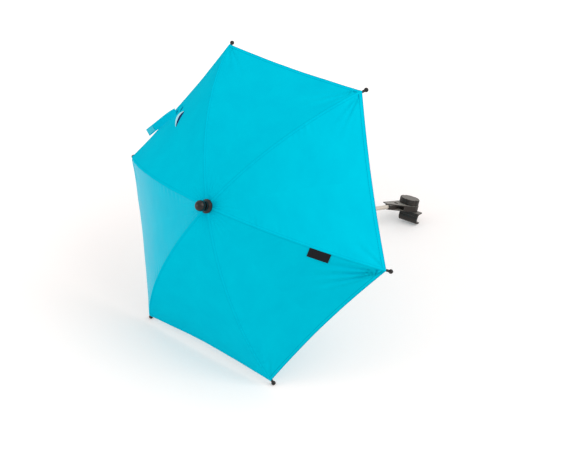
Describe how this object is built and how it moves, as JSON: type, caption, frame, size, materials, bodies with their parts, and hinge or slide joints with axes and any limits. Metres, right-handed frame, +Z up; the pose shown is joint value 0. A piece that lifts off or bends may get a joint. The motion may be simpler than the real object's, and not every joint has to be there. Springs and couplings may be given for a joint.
{
  "type": "pram parasol",
  "caption": "Pram parasol with a taut ribbed fabric canopy on a tilting two-part stick, ended by a knob-tightened clamp that hooks on a pram's tube.",
  "frame": {"origin": "bottom middle of the bounding box as the open parasol lies on two rib tips and its clamp", "axes": "+X from the canopy along the stick to the clamp, +Z up, +Y to the left of the stick seen from the canopy"},
  "size_m": [0.7226, 0.709, 0.5429],
  "materials": {
    "canopy_cloth": "woven",
    "tag_weave": "woven",
    "black_plastic": "gloss",
    "clamp_plastic": "satin",
    "stick_aluminium": "satin",
    "grip_rubber": "matte",
    "insert_brass": "turned",
    "button_plastic": "satin",
    "blacked_steel": "blacked",
    "plated_steel": "plated"
  },
  "bodies": {
    "jaw": {"clamp_jaw": "clamp_plastic", "clamp_insert": "insert_brass", "arm_retainer": "plated_steel"},
    "arm": {"clamp_arm": "clamp_plastic", "fork_pin": "blacked_steel"},
    "plunger": {"clamp_plunger": "clamp_plastic", "plunger_pad": "grip_rubber"},
    "knob": {"clamp_knob": "clamp_plastic", "clamp_screw": "plated_steel"},
    "lower_stick": {"lower_stick": "stick_aluminium", "stick_foot": "clamp_plastic", "knuckle_tongue": "clamp_plastic"},
    "upper_stick": {"upper_stick": "stick_aluminium", "knuckle_fork": "clamp_plastic", "tilt_pin": "plated_steel", "top_notch": "black_plastic", "notch_tie_wire": "plated_steel", "canopy_washer": "black_plastic", "finial": "black_plastic", "catch_spring": "plated_steel"},
    "tilt_button": {"tilt_button": "button_plastic"},
    "runner": {"runner": "black_plastic", "runner_tie_wire": "plated_steel"},
    "rib_1": {"rib_1": "plated_steel", "rib_rivet_1": "plated_steel", "rib_tip_1": "black_plastic", "canopy_panel_1": "canopy_cloth"},
    "stretcher_1": {"stretcher_1": "plated_steel"},
    "rib_2": {"rib_2": "plated_steel", "rib_rivet_2": "plated_steel", "rib_tip_2": "black_plastic", "canopy_panel_2": "canopy_cloth", "seam_tag": "tag_weave"},
    "stretcher_2": {"stretcher_2": "plated_steel"},
    "rib_3": {"rib_3": "plated_steel", "rib_rivet_3": "plated_steel", "rib_tip_3": "black_plastic", "canopy_panel_3": "canopy_cloth"},
    "stretcher_3": {"stretcher_3": "plated_steel"},
    "rib_4": {"rib_4": "plated_steel", "rib_rivet_4": "plated_steel", "rib_tip_4": "black_plastic", "canopy_panel_4": "canopy_cloth"},
    "stretcher_4": {"stretcher_4": "plated_steel"},
    "rib_5": {"rib_5": "plated_steel", "rib_rivet_5": "plated_steel", "rib_tip_5": "black_plastic", "canopy_panel_5": "canopy_cloth", "closing_strap": "canopy_cloth", "strap_patch": "canopy_cloth"},
    "stretcher_5": {"stretcher_5": "plated_steel"},
    "rib_6": {"rib_6": "plated_steel", "rib_rivet_6": "plated_steel", "rib_tip_6": "black_plastic", "canopy_panel_6": "canopy_cloth"},
    "stretcher_6": {"stretcher_6": "plated_steel"}
  },
  "joints": [
    {"name": "arm_swivel", "type": "hinge", "parent": "jaw", "child": "arm", "pos_m": [0.33274, -0.0114, 0.038], "axis": [0.3515, 0, 0.9362], "continuous": true},
    {"name": "plunger_travel", "type": "slide", "parent": "jaw", "child": "plunger", "axis": [0.3515, 0, 0.9362], "range_m": [0, 0.003]},
    {"name": "knob_turn", "type": "hinge", "parent": "plunger", "child": "knob", "pos_m": [0.33274, -0.0114, 0.038], "axis": [0.3515, 0, 0.9362], "range_deg": [0, 1080]},
    {"name": "fork_tilt", "type": "hinge", "parent": "arm", "child": "lower_stick", "pos_m": [0.29783, 0, 0.05111], "axis": [0.3515, 0, 0.9362], "range_deg": [-102, 68]},
    {"name": "stick_tilt", "type": "hinge", "parent": "lower_stick", "child": "upper_stick", "pos_m": [0.04412, 0, 0.14637], "axis": [0, -1, 0], "range_deg": [-72.3, 87.7]},
    {"name": "button_press", "type": "slide", "parent": "upper_stick", "child": "tilt_button", "axis": [0, 1, 0], "range_m": [0, 0.002], "stiffness_N_per_m": 400, "springref_m": -0.001},
    {"name": "canopy_fold", "type": "slide", "parent": "upper_stick", "child": "runner", "axis": [0.8806, 0, -0.4738], "range_m": [0, 0.1967], "deforming": ["canopy_panel_1", "canopy_panel_2", "canopy_panel_3", "canopy_panel_4", "canopy_panel_5", "canopy_panel_6", "closing_strap", "strap_patch", "seam_tag", "catch_spring"]},
    {"name": "rib_1_fold", "type": "hinge", "parent": "upper_stick", "child": "rib_1", "pos_m": [-0.31577, -0.004, 0.33211], "axis": [0.2369, -0.866, 0.4403], "range_deg": [0, 66.8]},
    {"name": "stretcher_1_fold", "type": "hinge", "parent": "rib_1", "child": "stretcher_1", "pos_m": [-0.3489, -0.07317, 0.21389], "axis": [0.2369, -0.866, 0.4403], "range_deg": [-121.69, 0]},
    {"name": "rib_2_fold", "type": "hinge", "parent": "upper_stick", "child": "rib_2", "pos_m": [-0.31249, -0.008, 0.33821], "axis": [0.4738, 0, 0.8806], "range_deg": [0, 66.8]},
    {"name": "stretcher_2_fold", "type": "hinge", "parent": "rib_2", "child": "stretcher_2", "pos_m": [-0.28886, -0.14634, 0.3255], "axis": [0.4738, 0, 0.8806], "range_deg": [-121.69, 0]},
    {"name": "rib_3_fold", "type": "hinge", "parent": "upper_stick", "child": "rib_3", "pos_m": [-0.30921, -0.004, 0.34431], "axis": [0.2369, 0.866, 0.4403], "range_deg": [0, 66.8]},
    {"name": "stretcher_3_fold", "type": "hinge", "parent": "rib_3", "child": "stretcher_3", "pos_m": [-0.22881, -0.07317, 0.43711], "axis": [0.2369, 0.866, 0.4403], "range_deg": [-121.69, 0]},
    {"name": "rib_4_fold", "type": "hinge", "parent": "upper_stick", "child": "rib_4", "pos_m": [-0.30921, 0.004, 0.34431], "axis": [-0.2369, 0.866, -0.4403], "range_deg": [0, 66.8]},
    {"name": "stretcher_4_fold", "type": "hinge", "parent": "rib_4", "child": "stretcher_4", "pos_m": [-0.22881, 0.07317, 0.43711], "axis": [-0.2369, 0.866, -0.4403], "range_deg": [-121.69, 0]},
    {"name": "rib_5_fold", "type": "hinge", "parent": "upper_stick", "child": "rib_5", "pos_m": [-0.31249, 0.008, 0.33821], "axis": [-0.4738, 0, -0.8806], "range_deg": [0, 66.8]},
    {"name": "stretcher_5_fold", "type": "hinge", "parent": "rib_5", "child": "stretcher_5", "pos_m": [-0.28886, 0.14634, 0.3255], "axis": [-0.4738, 0, -0.8806], "range_deg": [-121.69, 0]},
    {"name": "rib_6_fold", "type": "hinge", "parent": "upper_stick", "child": "rib_6", "pos_m": [-0.31577, 0.004, 0.33211], "axis": [-0.2369, -0.866, -0.4403], "range_deg": [0, 66.8]},
    {"name": "stretcher_6_fold", "type": "hinge", "parent": "rib_6", "child": "stretcher_6", "pos_m": [-0.3489, 0.07317, 0.21389], "axis": [-0.2369, -0.866, -0.4403], "range_deg": [-121.69, 0]}
  ],
  "couplings": [
    {"joint": "plunger_travel", "follows": "knob_turn", "m_per_rad": 0.00015915},
    {"joint": "rib_1_fold", "follows": "canopy_fold", "rad_per_m": 5.9229},
    {"joint": "stretcher_1_fold", "follows": "canopy_fold", "rad_per_m": -10.793},
    {"joint": "rib_2_fold", "follows": "canopy_fold", "rad_per_m": 5.9229},
    {"joint": "stretcher_2_fold", "follows": "canopy_fold", "rad_per_m": -10.793},
    {"joint": "rib_3_fold", "follows": "canopy_fold", "rad_per_m": 5.9229},
    {"joint": "stretcher_3_fold", "follows": "canopy_fold", "rad_per_m": -10.793},
    {"joint": "rib_4_fold", "follows": "canopy_fold", "rad_per_m": 5.9229},
    {"joint": "stretcher_4_fold", "follows": "canopy_fold", "rad_per_m": -10.793},
    {"joint": "rib_5_fold", "follows": "canopy_fold", "rad_per_m": 5.9229},
    {"joint": "stretcher_5_fold", "follows": "canopy_fold", "rad_per_m": -10.793},
    {"joint": "rib_6_fold", "follows": "canopy_fold", "rad_per_m": 5.9229},
    {"joint": "stretcher_6_fold", "follows": "canopy_fold", "rad_per_m": -10.793}
  ]
}
